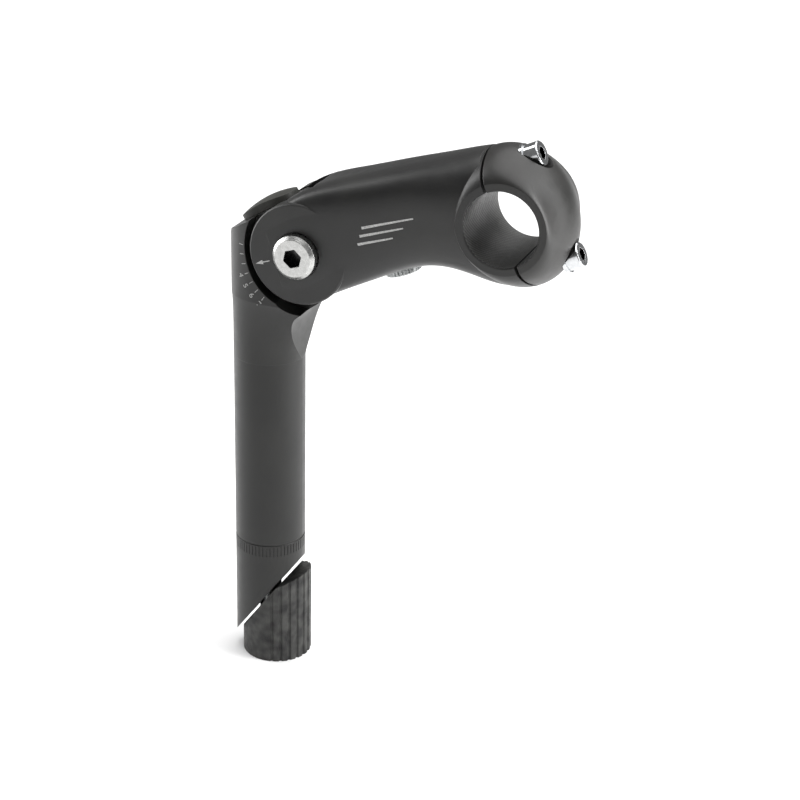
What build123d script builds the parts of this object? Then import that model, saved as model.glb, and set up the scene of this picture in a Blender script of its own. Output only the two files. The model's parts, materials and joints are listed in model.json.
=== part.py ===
"""Adjustable quill stem for a bicycle: millimetres, +X forward, +Z up.

The origin is on the shank's axis where the straight 25.4 mm shank meets the flared neck.
"""
import os
from math import atan, cos, degrees, pi, radians, sin, tan

from build123d import *

# Steerer side
SHANK_R = 12.7            # quill for a 1-1/8 in steerer
SHANK_LENGTH = 70.5       # straight shank down to the insertion mark
CUT_ANGLE = 53.8          # slope of the slanted end, measured from the horizontal
CUT_FRONT_Z = -79.2       # height of the slanted cut where it leaves the front of the shank
SHANK_BORE_R = 8.0
EXPANDER_BOLT_R = 4.0     # M8
BOLT_SEAT_Z = 30.0        # shelf inside the head that carries the expander bolt's washer
CAP_BORE_R = 6.8
TOP_RISE = 0.6            # slope of the head's flat top, and its height over the quill's axis
TOP_Z = 53.45
WEDGE_SHIFT = 2.6         # how far the wedge stands forward when the stem is ready to insert
WEDGE_BOTTOM = -119.0

# Pivot
PIVOT_X = 17.75
PIVOT_Z = 44.0
TILT = 18.0               # slope of the arm's centre line as stored
TOOTH_PITCH = 9.0         # one click of the tilt lock, in degrees
LUG_R = 16.4
LUG_HALF = 8.0
EAR_R = 17.7
EAR_INNER = 8.75
EAR_OUTER = 16.0
POCKET_R = 20.3
SLOT_R = 22.3
SLEEVE_R = 6.0
PIVOT_BOLT_R = 4.0        # M8
PIVOT_HEAD_H = 5.0

# Handlebar clamp, in the arm's own frame (u along the arm, w up, pivot at zero)
BAR_R = 12.7
CLAMP_U = 74.1
CLAMP_W = -3.3
CLAMP_HALF = 17.55
SPLIT_ANGLE = 7.5         # the split plane's normal above the arm's centre line
SPLIT_GAP = 1.0
FACE_BOLT_R = 2.45        # M5
UPPER_BOLT_T = 16.6       # height of each faceplate bolt over the bar's axis
LOWER_BOLT_T = -18.8
FACE_SEAT_N = 9.7
WASHER_T = 1.2

# Tilt lock under the arm
LOCK_U = 29.0             # position of the M6 lock bolt along the arm
LOCK_R = 2.95
LOCK_SLOPE = 18.0
LOCK_HALF = 6.0
LOCK_RELEASE = 1.0        # gap that frees the teeth, taken up when the lock is tightened
LOCK_SEAT_W = -12.2
LOCK_WASHER_T = 1.0
CLEAR = 0.05

ARM = Location((PIVOT_X, 0, PIVOT_Z), (0, -TILT, 0))
SPLIT = ARM * Location((CLAMP_U, 0, CLAMP_W), (0, -SPLIT_ANGLE, 0))


def side(sketch, y0, y1):
    """A sketch drawn in XZ, made solid between two values of y."""
    return extrude(Plane.XZ.offset(-y1) * sketch, y1 - y0, dir=(0, -1, 0))


def rod(radius, y0, y1, x=0, z=0):
    """A round bar along Y."""
    return side(Pos(x, z) * Circle(radius), y0, y1)


def pole(radius, z0, z1, x=0, y=0):
    """A round bar along Z."""
    return extrude(Plane.XY.offset(z0) * Pos(x, y) * Circle(radius), z1 - z0)


def beam(radius, x0, x1, z=0, y=0):
    """A round bar along X."""
    return Pos(x0, y, z) * Rot(0, 90, 0) * Cylinder(
        radius, x1 - x0, align=(Align.CENTER, Align.CENTER, Align.MIN)
    )


def block(x0, x1, y0, y1, z0, z1):
    """A box between two corners."""
    return Pos((x0 + x1) / 2, (y0 + y1) / 2, (z0 + z1) / 2) * Box(x1 - x0, y1 - y0, z1 - z0)


def oval(half_x, half_y, power, steps=24):
    """A closed rounded outline: power 2 is an ellipse, and a higher power is squarer."""
    points = []
    for i in range(steps):
        a = 2 * pi * i / steps
        cx, cy = cos(a), sin(a)
        x = half_x * (1 if cx > 0 else -1) * abs(cx) ** (2 / power)
        y = half_y * (1 if cy > 0 else -1) * abs(cy) ** (2 / power)
        points.append((x, y))
    return make_face(Spline(*points, periodic=True))


def hex_socket(across_flats, depth):
    """A hexagonal drive recess that points down from z = 0."""
    return Pos(0, 0, -depth) * extrude(
        RegularPolygon(across_flats / 2, 6, major_radius=False), depth + 1
    )


def cap_screw(radius, length, head_r, head_h, across_flats):
    """Socket-head screw along Z: the head's underside is at z = 0 and the shank goes down."""
    head = extrude(Circle(head_r), head_h)
    head = chamfer(head.edges().sort_by(Axis.Z)[-1], 0.35)
    head -= Pos(0, 0, head_h) * hex_socket(across_flats, head_h * 0.6)
    shank = extrude(Circle(radius), -length)
    shank = chamfer(shank.edges().sort_by(Axis.Z)[0], radius * 0.22)
    return head + shank


def ring(outer, inner, thickness):
    """A flat washer that stands on z = 0."""
    return extrude(Circle(outer) - Circle(inner), thickness)


def below_cut(drop):
    """Everything under the slanted end of the shank, lowered by a gap."""
    at = Pos(SHANK_R, 0, CUT_FRONT_Z) * Rot(0, -CUT_ANGLE, 0)
    return at * block(-90, 60, -30, 30, -120, -drop)


def quill_body():
    # plan outline of the neck at rising heights: centre, half length, half width, squareness
    start = SHANK_R + 0.05
    stations = (
        (-24, 0, start, start, 2),
        (-12, 0, start, start, 2),
        (0, 0, start, start, 2),
        (13, 3.0, 15.3, 13.6, 2.3),
        (24, 11.8, 24.0, EAR_OUTER, 2.7),
    )
    neck = loft([Plane.XY.offset(z) * Pos(x, 0) * oval(a, b, n) for z, x, a, b, n in stations])
    neck -= block(-40, 60, -40, 40, -30, 0)
    envelope = neck + extrude(Plane.XY.offset(24) * Pos(11.8, 0) * oval(24.0, EAR_OUTER, 2.7), 40)
    outline = make_face(
        Polyline((12.72, 0), (-20, 0), (-20, 38.5), (-12.9, 39), (-12, 43.4), (-9.6, 47.69),
                 (11, 60.05), (13.5, 59.84))
        + ThreePointArc((13.5, 59.84), (34.15, 44), (28.22, 31.38))
        + Spline((28.22, 31.38), (24.6, 26.8), (20, 23), (15.6, 19.2), (13.7, 14.6), (12.9, 8),
                 (12.72, 0))
    )
    head = side(outline, -17, 17) & envelope
    relief = Circle(POCKET_R) + Pos(0.75, -9.2) * Circle(13)
    for y0, y1 in ((-18, -LUG_HALF), (LUG_HALF, 18)):
        head -= side(Pos(PIVOT_X, PIVOT_Z) * relief, y0, y1)
    body = head + pole(SHANK_R, -125, 0.5)
    body -= below_cut(0)
    body -= rod(SLEEVE_R + CLEAR, -20, 20, PIVOT_X, PIVOT_Z)
    body -= pole(CAP_BORE_R, BOLT_SEAT_Z, 80)
    body -= pole(EXPANDER_BOLT_R + 0.5, -130, 80)
    body -= pole(SHANK_BORE_R, -130, 12)
    # insertion mark: a fine groove with short upright strokes under it
    mark = -SHANK_LENGTH - 0.8
    floor = SHANK_R - 0.22
    body -= pole(SHANK_R + 1, mark, -SHANK_LENGTH) - pole(floor, mark - 1, 0)
    for i in range(60):
        stroke = block(floor, SHANK_R + 1, -0.17, 0.17, mark - 4.1, mark - 0.3)
        body -= Rot(0, 0, 6 * i) * stroke
    for i in range(13):
        angle = -27 + TOOTH_PITCH * i
        groove = Polygon((15.4, 0), (16.9, 1.3), (16.9, -1.3), align=None)
        body -= side(Pos(PIVOT_X, PIVOT_Z) * Rot(0, 0, angle) * groove, -6.4, 6.4)
    return body


def top_cap():
    """Crowned plastic lid that lies on the sloping top, with a plug in the bore."""
    middle = 1.2
    slope = degrees(atan(TOP_RISE))
    at = Pos(middle, 0, TOP_Z + TOP_RISE * middle + 0.03) * Rot(0, -slope, 0)
    lid = at * (extrude(oval(10.9, 7.2, 2.5), 4) & Pos(0, 0, 3.7 - 31) * Sphere(31))
    under_lid = Polygon(
        (-9, 46), (9, 46), (9, TOP_Z + 9 * TOP_RISE + 0.3), (-9, TOP_Z - 9 * TOP_RISE + 0.3),
        align=None,
    )
    return lid + (pole(CAP_BORE_R - 0.1, 45, 62) & side(under_lid, -8, 8))


def on_arm(shape):
    return ARM * shape


def arm_blank():
    """The forged arm before machining, in its own frame."""
    stations = (
        (-9, 15.0, -15.0, 15.9, 9),
        (0, 18.2, -17.5, 15.95, 8),
        (8, 20.2, -16.6, 16, 6),
        (16, 20.7, -15.5, 16, 5),
        (28, 20.8, -14.0, 16, 4),
        (42, 20.8, -13.4, 16, 3.6),
        (52, 20.7, -16.5, 16.4, 3.2),
        (61, 20.7, -21.8, 17.0, 2.9),
        (70, 20.5, -25.8, 17.3, 2.6),
    )
    sections = []
    for u, top, bottom, half, power in stations:
        at = Plane.YZ.offset(u) * Pos(0, (top + bottom) / 2)
        sections.append(at * oval(half, (top - bottom) / 2, power))
    ear = rod(EAR_R, 0.1 - EAR_OUTER, EAR_OUTER - 0.1)
    ear = chamfer(ear.edges(), 0.5)
    return loft(sections) + ear


def clamp_barrel():
    """The domed clamp in the split frame: x along the split normal, bar along Y."""
    sections = []
    half = ((CLAMP_HALF, 15.3, 15.4), (15.5, 16.1, 18.3), (10, 17.6, 21.7), (5, 19.1, 23.4))
    rings = [(-y, a, b) for y, a, b in half] + [(0, 19.7, 24)] + list(reversed(half))
    for y, a, b in rings:
        sections.append(Plane.XZ.offset(-y) * oval(a, b, 2))
    return loft(sections)


def bar_bore():
    bore = rod(BAR_R, -30, 30)
    for s in (-1, 1):
        bore += Pos(0, s * (CLAMP_HALF - 0.4), 0) * Rot(-90 * s, 0, 0) * Cone(
            BAR_R, BAR_R + 1, 1, align=(Align.CENTER, Align.CENTER, Align.MIN)
        )
    return bore


def block_cavity(gap):
    """The space that holds the toothed block and its wedge, in the arm's frame."""
    return block(15, 34.5 + gap, -LOCK_HALF - gap, LOCK_HALF + gap, -6.2 - gap, 6.2 + gap) + block(
        23.5, 34.5 + gap, -LOCK_HALF - gap, LOCK_HALF + gap, -9.9, 6.2 + gap
    )


def arm():
    to_split = ARM.inverse() * SPLIT
    body = arm_blank() + to_split * clamp_barrel()
    body -= to_split * block(-SPLIT_GAP / 2, 60, -40, 40, -60, 60)
    body -= rod(SLOT_R, -EAR_INNER, EAR_INNER)
    body -= to_split * bar_bore()
    body -= rod(SLEEVE_R + CLEAR, -20, 20)
    for s in (-1, 1):
        y0, y1 = sorted((s * 15.0, s * 20.0))
        body -= rod(8.0, y0, y1)
    body -= block_cavity(0.15)
    body -= pole(LOCK_R + CLEAR + 0.3, -30, 0, x=LOCK_U)
    body -= pole(6.6, -30, LOCK_SEAT_W, x=LOCK_U)
    for t in (UPPER_BOLT_T, LOWER_BOLT_T):
        body -= to_split * beam(FACE_BOLT_R + CLEAR, -7.5, 1, z=t)
    return on_arm(body)


def faceplate():
    plate = clamp_barrel() - block(-40, SPLIT_GAP / 2, -40, 40, -60, 60)
    plate -= bar_bore()
    for t in (UPPER_BOLT_T, LOWER_BOLT_T):
        plate -= beam(FACE_BOLT_R + 0.3, -1, 40, z=t)
        plate -= beam(5.5, FACE_SEAT_N, 40, z=t)
    return SPLIT * plate


def face_bolt(t):
    at = SPLIT * Pos(FACE_SEAT_N + WASHER_T, 0, t) * Rot(0, 90, 0)
    return at * cap_screw(FACE_BOLT_R, 16, 4.25, 5, 4)


def face_washer(t):
    at = SPLIT * Pos(FACE_SEAT_N, 0, t) * Rot(0, 90, 0)
    return at * ring(4.8, FACE_BOLT_R + 0.1, WASHER_T)


def dome_head():
    """Low head with a wide bevel, shared by the pivot screw and its sleeve nut."""
    head = extrude(Circle(7.63), PIVOT_HEAD_H)
    return chamfer(head.edges().sort_by(Axis.Z)[-1], 1.2)


def pivot_bolt():
    """Flanged screw that enters from the rider's right hand side."""
    screw = dome_head() + extrude(Circle(PIVOT_BOLT_R), -27)
    screw -= Pos(0, 0, PIVOT_HEAD_H) * hex_socket(6, 4.6)
    return on_arm(Pos(0, -15.05, 0) * Rot(90, 0, 0) * screw)


def pivot_sleeve():
    sleeve = dome_head() + extrude(Circle(SLEEVE_R), -29.6)
    sleeve -= Pos(0, 0, -40) * extrude(Circle(PIVOT_BOLT_R + CLEAR), 41)
    sleeve -= Pos(0, 0, PIVOT_HEAD_H) * hex_socket(6, 4.6)
    return on_arm(Pos(0, 15.05, 0) * Rot(-90, 0, 0) * sleeve)


def friction_washer(s):
    y0, y1 = sorted((s * (LUG_HALF + 0.04), s * (EAR_INNER - 0.04)))
    return on_arm(rod(13.5, y0, y1) - rod(SLEEVE_R + 0.1, y0 - 1, y1 + 1))


def slope_u(w):
    """Where the sloping face between the block and its wedge lies at a height."""
    return 21.6 - tan(radians(LOCK_SLOPE)) * w


def lock_block():
    body = side(
        Polygon((14, -6.1), (slope_u(-6.1), -6.1), (slope_u(6.1), 6.1), (14, 6.1), align=None),
        -LOCK_HALF, LOCK_HALF,
    )
    body -= rod(LUG_R + 0.12, -20, 20)
    for i in range(-2, 3):
        tooth = Polygon((15.6, 0), (16.8, 0.95), (16.8, -0.95), align=None)
        body += side(Rot(0, 0, TOOTH_PITCH * i) * tooth, -LOCK_HALF, LOCK_HALF)
    return on_arm(Pos(LOCK_RELEASE, 0, 0) * body)


def lock_wedge():
    rest = LOCK_RELEASE + 0.05
    low, high = -6.2, 6.0
    body = side(
        Polygon((slope_u(low) + rest, low), (34.4, low), (34.4, high), (slope_u(high) + rest, high),
                align=None),
        -LOCK_HALF, LOCK_HALF,
    )
    body -= pole(LOCK_R + CLEAR, -30, 30, x=LOCK_U)
    return on_arm(body)


def lock_bolt():
    """Low screw with a serrated rim, under the arm."""
    screw = cap_screw(LOCK_R, 19, 6.2, 2.6, 4)
    for i in range(30):
        screw -= Rot(0, 0, 12 * i) * Pos(6.4, 0, 0) * Rot(0, 0, 45) * Box(0.75, 0.75, 8)
    return on_arm(Pos(LOCK_U, 0, LOCK_SEAT_W - LOCK_WASHER_T) * Rot(180, 0, 0) * screw)


def lock_washer():
    disc = ring(6.0, LOCK_R + 0.1, LOCK_WASHER_T)
    return on_arm(Pos(LOCK_U, 0, LOCK_SEAT_W - LOCK_WASHER_T) * disc)


def expander_bolt():
    length = BOLT_SEAT_Z + 1.6 + 119
    return Pos(0, 0, BOLT_SEAT_Z + 1.6) * cap_screw(EXPANDER_BOLT_R, length, 6.5, 8, 6)


def expander_washer():
    return Pos(0, 0, BOLT_SEAT_Z) * ring(6.6, EXPANDER_BOLT_R + 0.2, 1.6)


def expander_nut():
    nut = extrude(RegularPolygon(6.5, 6, major_radius=False) - Circle(EXPANDER_BOLT_R + CLEAR), 6.4)
    return Pos(0, 0, WEDGE_BOTTOM + 0.2) * nut


def expander_wedge():
    body = pole(12.6, WEDGE_BOTTOM, -70, x=WEDGE_SHIFT) & below_cut(0.9)
    # blunted upper nose
    body -= Pos(6.9, 0, -88.2) * Rot(0, -24, 0) * block(-30, 30, -30, 30, 0, 40)
    # relieved foot of the slanted face
    body -= Pos(-9.7, 0, -109) * Rot(0, -76, 0) * block(-30, 30, -30, 30, 0, 40)
    slot = pole(4.2, -140, -60) + pole(4.2, -140, -60, x=WEDGE_SHIFT) + block(
        0, WEDGE_SHIFT, -4.2, 4.2, -140, -60
    )
    body -= slot
    pocket = block(0, WEDGE_SHIFT, -6.6, 6.6, -10, 6.65)
    for x in (0, WEDGE_SHIFT):
        pocket += Pos(x, 0, -10) * extrude(RegularPolygon(6.6, 6, major_radius=False), 16.65)
    body -= Pos(0, 0, WEDGE_BOTTOM) * pocket
    for i in range(11):
        at = Pos(WEDGE_SHIFT, 0, 0) * Rot(0, 0, -75 + 15 * i)
        body -= at * pole(0.75, -140, -60, x=12.85)
    return body


PARTS = {
    "quill_body": quill_body,
    "quill_top_cap": top_cap,
    "expander_bolt": expander_bolt,
    "expander_washer": expander_washer,
    "expander_nut": expander_nut,
    "expander_wedge": expander_wedge,
    "stem_arm": arm,
    "faceplate": faceplate,
    "faceplate_bolt_upper": lambda: face_bolt(UPPER_BOLT_T),
    "faceplate_bolt_lower": lambda: face_bolt(LOWER_BOLT_T),
    "faceplate_washer_upper": lambda: face_washer(UPPER_BOLT_T),
    "faceplate_washer_lower": lambda: face_washer(LOWER_BOLT_T),
    "pivot_bolt": pivot_bolt,
    "pivot_sleeve_nut": pivot_sleeve,
    "friction_washer_near": lambda: friction_washer(-1),
    "friction_washer_far": lambda: friction_washer(1),
    "lock_block": lock_block,
    "lock_wedge": lock_wedge,
    "lock_bolt": lock_bolt,
    "lock_washer": lock_washer,
}

os.makedirs("parts", exist_ok=True)
for name, make in PARTS.items():
    export_step(make(), f"parts/{name}.step")
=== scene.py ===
"""Looks of the adjustable quill stem: finishes, painted marks, floor, light and camera.

Lengths are in metres, in the frame of the CAD model: +X forward, +Z up.
"""

import json
from math import cos, radians, sin

import bpy
from mathutils import Matrix, Vector
from mathutils.bvhtree import BVHTree


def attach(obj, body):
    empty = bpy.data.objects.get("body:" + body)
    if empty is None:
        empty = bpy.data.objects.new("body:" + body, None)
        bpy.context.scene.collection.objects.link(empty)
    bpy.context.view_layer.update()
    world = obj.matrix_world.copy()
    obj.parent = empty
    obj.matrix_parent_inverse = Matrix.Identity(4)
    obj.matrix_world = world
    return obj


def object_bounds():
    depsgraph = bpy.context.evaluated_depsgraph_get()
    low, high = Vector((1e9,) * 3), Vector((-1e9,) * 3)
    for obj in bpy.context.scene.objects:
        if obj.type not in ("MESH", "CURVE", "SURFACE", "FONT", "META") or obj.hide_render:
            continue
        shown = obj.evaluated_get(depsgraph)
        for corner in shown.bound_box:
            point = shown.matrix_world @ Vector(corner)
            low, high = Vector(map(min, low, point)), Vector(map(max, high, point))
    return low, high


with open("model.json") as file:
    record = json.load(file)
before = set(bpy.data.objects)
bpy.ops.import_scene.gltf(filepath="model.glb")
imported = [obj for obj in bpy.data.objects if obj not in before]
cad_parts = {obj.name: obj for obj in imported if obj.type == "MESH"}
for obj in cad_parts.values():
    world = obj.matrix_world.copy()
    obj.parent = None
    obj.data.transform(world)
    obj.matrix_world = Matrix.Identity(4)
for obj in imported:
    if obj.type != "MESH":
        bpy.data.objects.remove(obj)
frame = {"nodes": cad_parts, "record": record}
cad_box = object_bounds()

MM = 0.001
PIVOT = Vector((17.75, 0, 44)) * MM
CLAMP = Vector((89.243, 0, 63.760)) * MM
BORE_R = 12.7 * MM
SPLIT_NORMAL = Vector((0.902585, 0, 0.430511))
SPLIT_UP = Vector((-0.430511, 0, 0.902585))
# how far each faceplate screw's axis lies from the bar's axis, along SPLIT_UP, in mm
SCREW_HEIGHTS = {"upper": 16.6, "lower": -18.8}

ARM_TILT = 18
ARROW_ANGLE = 199.1
TICK_STEP = 9
TICKS = range(180, 235, TICK_STEP)
# the last four ticks carry these figures
FIRST_FIGURE, FIRST_FIGURE_ANGLE, FIGURE_COUNT = 4, 207, 4

# the photograph's viewpoint, fitted to the outlines of the clamp, the quill and the pivot
CAMERA_LENS, CAMERA_SENSOR = 88.06, 36
CAMERA_AIM = Vector((52.765, -7.861, -5.753)) * MM
CAMERA_DISTANCE = 669.81 * MM
AZIMUTH, ELEVATION, ROLL = radians(21.073), radians(23.935), radians(1.4106)

FULL_TURN = 6.2832
# sockets of a Mix node that is set to colour
MIX_A, MIX_B, MIX_RESULT = 6, 7, 2


# ---------------------------------------------------------------- materials
def new_material(name):
    material = bpy.data.materials.new(name)
    material.use_nodes = True
    tree = material.node_tree
    shader = tree.nodes["Principled BSDF"]
    place = tree.nodes.new("ShaderNodeTexCoord").outputs["Object"]
    return material, tree, shader, place


def noise(tree, place, scale, detail=3.0, rough=0.55):
    node = tree.nodes.new("ShaderNodeTexNoise")
    node.inputs["Scale"].default_value = scale
    node.inputs["Detail"].default_value = detail
    node.inputs["Roughness"].default_value = rough
    tree.links.new(place, node.inputs["Vector"])
    return node.outputs["Fac"]


def ramp(tree, factor, stops):
    node = tree.nodes.new("ShaderNodeValToRGB")
    elements = node.color_ramp.elements
    while len(elements) < len(stops):
        elements.new(0.5)
    for element, (position, colour) in zip(elements, stops):
        element.position = position
        element.color = (*colour, 1)
    tree.links.new(factor, node.inputs["Fac"])
    return node.outputs["Color"]


def spread(tree, factor, low, high):
    """Maps the middle of a noise's range onto low..high."""
    node = tree.nodes.new("ShaderNodeMapRange")
    node.inputs["From Min"].default_value = 0.3
    node.inputs["From Max"].default_value = 0.7
    node.inputs["To Min"].default_value = low
    node.inputs["To Max"].default_value = high
    tree.links.new(factor, node.inputs["Value"])
    return node.outputs["Result"]


def math_node(tree, operation, first, second=None):
    node = tree.nodes.new("ShaderNodeMath")
    node.operation = operation
    for socket, value in zip(node.inputs, (first, second)):
        if isinstance(value, (int, float)):
            socket.default_value = value
        elif value is not None:
            tree.links.new(value, socket)
    return node.outputs[0]


def mixed(tree, factor, first, second):
    node = tree.nodes.new("ShaderNodeMix")
    node.data_type = "RGBA"
    tree.links.new(factor, node.inputs["Factor"])
    tree.links.new(first, node.inputs[MIX_A])
    tree.links.new(second, node.inputs[MIX_B])
    return node.outputs[MIX_RESULT]


def shifted(tree, place, centre):
    """Places measured from a centre."""
    node = tree.nodes.new("ShaderNodeVectorMath")
    node.operation = "SUBTRACT"
    node.inputs[1].default_value = centre
    tree.links.new(place, node.inputs[0])
    return node.outputs["Vector"]


def grain(tree, shader, height, depth, strength=1.0, edge=0.0):
    """Bump from a height, over edges that are rounded by a small radius."""
    bump = tree.nodes.new("ShaderNodeBump")
    bump.inputs["Strength"].default_value = strength
    bump.inputs["Distance"].default_value = depth
    tree.links.new(height, bump.inputs["Height"])
    if edge:
        bevel = tree.nodes.new("ShaderNodeBevel")
        bevel.samples = 6
        bevel.inputs["Radius"].default_value = edge
        tree.links.new(bevel.outputs["Normal"], bump.inputs["Normal"])
    tree.links.new(bump.outputs["Normal"], shader.inputs["Normal"])


def finish_of(name, dark, light, rough, scale, depth, edge=0.25 * MM, metallic=0.0, blotch=60.0,
              specular=0.4):
    """A surface with slow colour drift, a fine grain and a varied gloss."""
    material, tree, shader, place = new_material(name)
    slow = noise(tree, place, blotch, 4)
    tree.links.new(ramp(tree, slow, ((0.35, dark), (0.65, light))), shader.inputs["Base Color"])
    tree.links.new(spread(tree, noise(tree, place, blotch * 4), *rough), shader.inputs["Roughness"])
    shader.inputs["Metallic"].default_value = metallic
    shader.inputs["Specular IOR Level"].default_value = specular
    grain(tree, shader, noise(tree, place, scale, 2), depth, 1.0, edge)
    return material


def clamp_finish(name, dark, light, rough, scale, depth):
    """Satin black like the rest, with a darker cross-hatched grip inside the bar bore."""
    material, tree, shader, place = new_material(name)
    split = tree.nodes.new("ShaderNodeSeparateXYZ")
    tree.links.new(shifted(tree, place, CLAMP), split.inputs["Vector"])
    x, y, z = (split.outputs[axis] for axis in "XYZ")
    radius = math_node(tree, "SQRT", math_node(
        tree, "ADD", math_node(tree, "MULTIPLY", x, x), math_node(tree, "MULTIPLY", z, z)))
    inside = math_node(tree, "LESS_THAN", radius, BORE_R + 0.05 * MM)
    arc = math_node(tree, "MULTIPLY", math_node(tree, "ARCTAN2", z, x), BORE_R)
    rows = []
    for way, pitch in ((1, 0.62 * MM), (-1, 1.5 * MM)):
        run = math_node(tree, "ADD", arc, math_node(tree, "MULTIPLY", y, way))
        rows.append(math_node(tree, "SINE", math_node(tree, "MULTIPLY", run, FULL_TURN / pitch)))
    hatch = math_node(tree, "MULTIPLY", math_node(tree, "MAXIMUM", rows[0], rows[1]), inside)
    slow = noise(tree, place, 60, 4)
    skin = ramp(tree, slow, ((0.35, dark), (0.65, light)))
    grip = ramp(tree, hatch, ((0.30, (0.008, 0.008, 0.008)), (0.95, (0.11, 0.11, 0.105))))
    tree.links.new(mixed(tree, inside, skin, grip), shader.inputs["Base Color"])
    tree.links.new(spread(tree, noise(tree, place, 240), *rough), shader.inputs["Roughness"])
    fine = math_node(tree, "ADD", noise(tree, place, scale, 2),
                     math_node(tree, "MULTIPLY", hatch, 2.0))
    grain(tree, shader, fine, depth, 1.0, 0.35 * MM)
    return material


def turned_metal(name, dark, light, rough, centre, axis, pitch, socket, face):
    """Bright metal with fine turned rings about an axis, and a drive recess darkened with painted
    shade.

    The recess lies within the socket radius and less than face away from the centre.
    """
    material, tree, shader, place = new_material(name)
    away = shifted(tree, place, centre)
    cross = tree.nodes.new("ShaderNodeVectorMath")
    cross.operation = "CROSS_PRODUCT"
    cross.inputs[1].default_value = axis
    tree.links.new(away, cross.inputs[0])
    length = tree.nodes.new("ShaderNodeVectorMath")
    length.operation = "LENGTH"
    tree.links.new(cross.outputs["Vector"], length.inputs[0])
    rings = math_node(tree, "SINE", math_node(
        tree, "MULTIPLY", length.outputs["Value"], FULL_TURN / pitch))
    depth = tree.nodes.new("ShaderNodeVectorMath")
    depth.operation = "DOT_PRODUCT"
    depth.inputs[1].default_value = axis
    tree.links.new(away, depth.inputs[0])
    sunk = math_node(tree, "LESS_THAN", math_node(tree, "ABSOLUTE", depth.outputs["Value"]), face)
    recess = math_node(
        tree, "MULTIPLY", sunk, math_node(tree, "LESS_THAN", length.outputs["Value"], socket))
    speck = noise(tree, place, 700, 3)
    metal = ramp(tree, speck, ((0.3, dark), (0.7, light)))
    # painted shade: the drive recess is coloured dark where shade falls inside it
    painted_recess_shade = ramp(tree, speck, ((0.3, (0.03, 0.03, 0.03)), (0.7, (0.09, 0.09, 0.09))))
    tree.links.new(mixed(tree, recess, metal, painted_recess_shade), shader.inputs["Base Color"])
    tree.links.new(spread(tree, noise(tree, place, 900), *rough), shader.inputs["Roughness"])
    shader.inputs["Metallic"].default_value = 1.0
    grain(tree, shader, math_node(tree, "ADD", rings, speck), 0.004 * MM, 0.5, 0.2 * MM)
    return material


MATERIALS = {
    "quill_black": finish_of(
        "satin_quill", (0.008, 0.008, 0.0075), (0.012, 0.012, 0.011), (0.36, 0.44), 2600, 0.012 * MM),
    "arm_black": clamp_finish(
        "satin_arm", (0.008, 0.008, 0.008), (0.012, 0.012, 0.011), (0.38, 0.46), 2600, 0.012 * MM),
    "faceplate_black": clamp_finish(
        "satin_faceplate", (0.011, 0.011, 0.010), (0.016, 0.015, 0.014), (0.38, 0.46), 2400,
        0.012 * MM),
    "cap_plastic": finish_of(
        "moulded_cap", (0.024, 0.024, 0.021), (0.036, 0.036, 0.031), (0.46, 0.58), 1500,
        0.03 * MM, 0.4 * MM),
    "wedge_cast": finish_of(
        "cast_wedge", (0.008, 0.008, 0.008), (0.050, 0.050, 0.047), (0.46, 0.70), 900,
        0.14 * MM, 0.3 * MM, blotch=260),
    "bolt_zinc": finish_of(
        "zinc_plate", (0.26, 0.27, 0.27), (0.40, 0.41, 0.41), (0.26, 0.40), 2200, 0.01 * MM,
        0.15 * MM, 1.0, 500),
    "washer_plastic": finish_of(
        "acetal", (0.016, 0.016, 0.016), (0.026, 0.026, 0.026), (0.40, 0.50), 1800, 0.01 * MM),
    "lock_steel": finish_of(
        "sintered_steel", (0.16, 0.16, 0.155), (0.26, 0.26, 0.25), (0.38, 0.52), 2400,
        0.03 * MM, 0.15 * MM, 1.0, 400),
    "pivot_silver": turned_metal(
        "machined_pivot", (0.42, 0.42, 0.41), (0.54, 0.54, 0.53), (0.24, 0.34), PIVOT,
        Vector((0, 1, 0)), 0.5 * MM, 3.5 * MM, 20.0 * MM),
}
# each screw head's drive recess is darkened with painted shade
CHROME = {
    which: turned_metal(
        "chrome_" + which, (0.50, 0.51, 0.52), (0.64, 0.65, 0.66), (0.09, 0.18),
        CLAMP + SPLIT_UP * height * MM, SPLIT_NORMAL, 0.7 * MM, 2.34 * MM, 15.85 * MM)
    for which, height in SCREW_HEIGHTS.items()
}
SLOTS = {row["node"]: row["material_slot"] for row in frame["record"]["subparts"]}
for name, node in frame["nodes"].items():
    slot_name = SLOTS[name]
    if slot_name == "bolt_chrome":
        material = CHROME["upper" if name.endswith("upper") else "lower"]
    else:
        material = MATERIALS[slot_name]
    node.data.materials.clear()
    node.data.materials.append(material)
    for polygon in node.data.polygons:
        polygon.use_smooth = True


# ---------------------------------------------------------------- painted marks
def painted(name, colour):
    """Thin screen-printed paint with worn, uneven cover."""
    material, tree, shader, place = new_material(name)
    worn = noise(tree, place, 3200, 3)
    faded = tuple(c * 0.55 for c in colour)
    tree.links.new(ramp(tree, worn, ((0.35, faded), (0.6, colour))), shader.inputs["Base Color"])
    tree.links.new(spread(tree, noise(tree, place, 2000), 0.45, 0.65), shader.inputs["Roughness"])
    grain(tree, shader, noise(tree, place, 4000, 2), 0.01 * MM)
    return material


def skin_of(node_name):
    node = frame["nodes"][node_name]
    return BVHTree.FromPolygons(
        [v.co for v in node.data.vertices], [tuple(p.vertices) for p in node.data.polygons]
    )


def lay_on(skin, points, lift=0.025 * MM):
    """Drops points given as (x, z) on the near side of a surface."""
    laid = []
    for x, z in points:
        hit = skin.ray_cast(Vector((x, -0.1, z)), Vector((0, 1, 0)))[0]
        laid.append(Vector((x, hit.y - lift, z)))
    return laid


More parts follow.
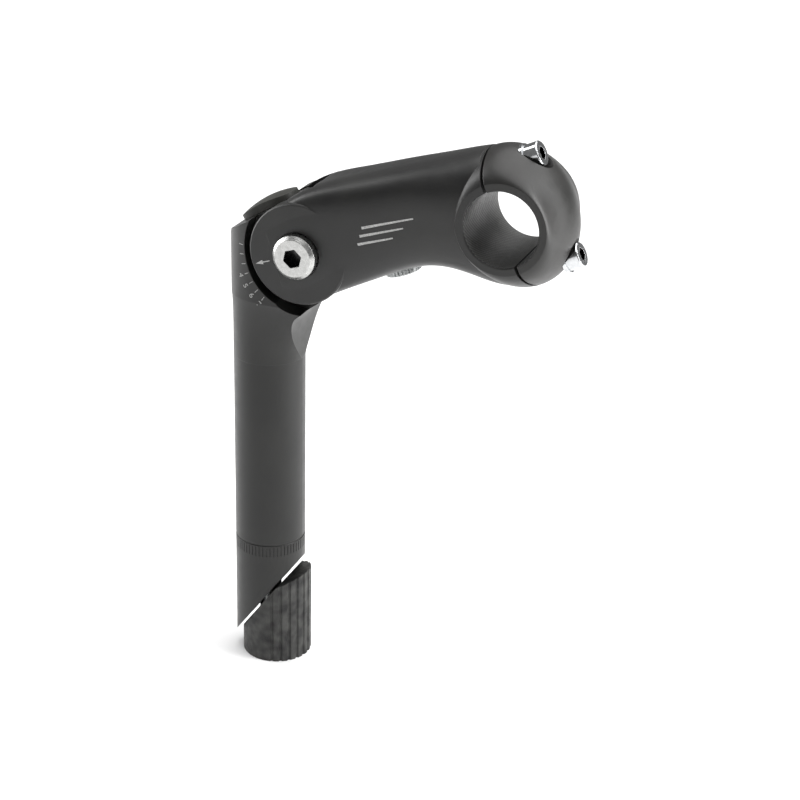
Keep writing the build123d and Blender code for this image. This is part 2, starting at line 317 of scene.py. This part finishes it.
def stroke(start, end, wide_start, wide_end, steps=8):
    """Outline points and quads of a tapering stroke in the XZ plane."""
    along = (end - start).normalized()
    across = Vector((-along.y, along.x))
    points = []
    for i in range(steps + 1):
        share = i / steps
        middle = start.lerp(end, share)
        half = (wide_start + (wide_end - wide_start) * share) / 2
        points += [middle - across * half, middle + across * half]
    quads = [(2 * i, 2 * i + 1, 2 * i + 3, 2 * i + 2) for i in range(steps)]
    return points, quads


def mark(name, body, material, skin, strokes):
    vertices, faces = [], []
    for points, quads in strokes:
        base = len(vertices)
        vertices += lay_on(skin, points)
        faces += [tuple(base + i for i in quad) for quad in quads]
    mesh = bpy.data.meshes.new(name)
    mesh.from_pydata(vertices, [], faces)
    mesh.materials.append(material)
    piece = bpy.data.objects.new(name, mesh)
    bpy.context.scene.collection.objects.link(piece)
    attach(piece, body)


def polar(radius, angle):
    """A point about the pivot, in the XZ plane: radius in mm, angle in degrees."""
    a = radians(angle)
    return Vector((PIVOT.x + radius * MM * cos(a), PIVOT.z + radius * MM * sin(a)))


def turned_by(x, z, angle):
    return Vector((x * cos(angle) - z * sin(angle), x * sin(angle) + z * cos(angle)))


GREY_PAINT = painted("grey_print", (0.42, 0.42, 0.41))
WHITE_PAINT = painted("white_print", (0.55, 0.55, 0.54))
quill_skin = skin_of("quill_body")
arm_skin = skin_of("stem_arm")

ticks = [stroke(polar(20.9, a), polar(22.7, a), 0.22 * MM, 0.22 * MM) for a in TICKS]
mark("scale_ticks", "quill", GREY_PAINT, quill_skin, ticks)


def digit(number, angle):
    """A printed figure outside its tick, standing along the radius."""
    curve = bpy.data.curves.new("figure", "FONT")
    curve.body = str(number)
    curve.size = 3.0 * MM
    curve.align_x = "CENTER"
    curve.align_y = "CENTER"
    holder = bpy.data.objects.new("figure", curve)
    mesh = bpy.data.meshes.new_from_object(holder)
    centre = polar(24.7, angle)
    turn = radians(angle - 270)
    points = [centre + turned_by(v.co.x, v.co.y, turn) for v in mesh.vertices]
    faces = [tuple(p.vertices) for p in mesh.polygons]
    bpy.data.objects.remove(holder)
    return points, faces


figures = [digit(FIRST_FIGURE + i, FIRST_FIGURE_ANGLE + TICK_STEP * i)
           for i in range(FIGURE_COUNT)]
mark("scale_figures", "quill", GREY_PAINT, quill_skin, figures)

tip, back = polar(16.1, ARROW_ANGLE), polar(10.8, ARROW_ANGLE)
barb = tip.lerp(back, 0.5)
arrow = [
    stroke(back, barb, 0.35 * MM, 0.35 * MM),
    stroke(barb, tip, 1.5 * MM, 0.12 * MM),
]
mark("angle_arrow", "arm", WHITE_PAINT, arm_skin, arrow)


def arm_point(along, above):
    """A point on the stored arm, in mm from the pivot along the arm and square to it."""
    return Vector((PIVOT.x, PIVOT.z)) + turned_by(along, above, radians(ARM_TILT)) * MM


stripes = [
    stroke(arm_point(near, above), arm_point(far, above), 0.9 * MM, 0.5 * MM, 16)
    for above, near, far in ((5.2, 26, 45), (2.6, 24.5, 40.5), (0.0, 23, 36))
]
mark("side_stripes", "arm", WHITE_PAINT, arm_skin, stripes)


# ---------------------------------------------------------------- floor, light, camera
def floor():
    size, low = 3.0, cad_box[0].z
    mesh = bpy.data.meshes.new("floor")
    mesh.from_pydata(
        [(-size, -size, low), (size, -size, low), (size, size, low), (-size, size, low)],
        [], [(0, 1, 2, 3)])
    material, tree, shader, place = new_material("pale_floor")
    pale = ramp(tree, noise(tree, place, 14), ((0.3, (0.90, 0.90, 0.90)), (0.7, (0.93, 0.93, 0.93))))
    tree.links.new(pale, shader.inputs["Base Color"])
    shader.inputs["Roughness"].default_value = 0.9
    mesh.materials.append(material)
    piece = bpy.data.objects.new("floor", mesh)
    bpy.context.scene.collection.objects.link(piece)


def area_light(name, place, target, size, power):
    lamp = bpy.data.lights.new(name, "AREA")
    lamp.shape = "RECTANGLE"
    lamp.size, lamp.size_y = size
    lamp.energy = power
    holder = bpy.data.objects.new(name, lamp)
    holder.location = place
    holder.rotation_mode = "QUATERNION"
    holder.rotation_quaternion = (Vector(target) - Vector(place)).to_track_quat("-Z", "Y")
    bpy.context.scene.collection.objects.link(holder)


floor()
centre = (0.03, 0, 0.0)
area_light("left_window", (-0.75, 0.05, 0.30), centre, (0.30, 0.9), 5.0)
area_light("right_window", (0.80, 0.10, 0.30), centre, (0.35, 0.8), 9.0)

daylight = bpy.data.lights.new("overhead", "SUN")
daylight.energy = 3.1
daylight.angle = radians(80)
overhead = bpy.data.objects.new("overhead", daylight)
overhead.rotation_euler = (radians(-16), radians(10), 0)
bpy.context.scene.collection.objects.link(overhead)

world = bpy.data.worlds.new("studio")
world.use_nodes = True
world.node_tree.nodes["Background"].inputs["Color"].default_value = (1, 1, 1, 1)
world.node_tree.nodes["Background"].inputs["Strength"].default_value = 0.22
bpy.context.scene.world = world
bpy.context.scene.view_settings.view_transform = "Standard"

camera_data = bpy.data.cameras.new("camera")
camera_data.lens = CAMERA_LENS
camera_data.sensor_width = CAMERA_SENSOR
camera = bpy.data.objects.new("camera", camera_data)
behind = Vector((sin(AZIMUTH) * cos(ELEVATION), -cos(AZIMUTH) * cos(ELEVATION), sin(ELEVATION)))
level = Vector((cos(AZIMUTH), sin(AZIMUTH), 0))
right = level * cos(ROLL) + behind.cross(level) * sin(ROLL)
turned = Matrix((right, behind.cross(right), behind)).transposed().to_4x4()
camera.matrix_world = Matrix.Translation(CAMERA_AIM + behind * CAMERA_DISTANCE) @ turned
bpy.context.scene.collection.objects.link(camera)
bpy.context.scene.camera = camera
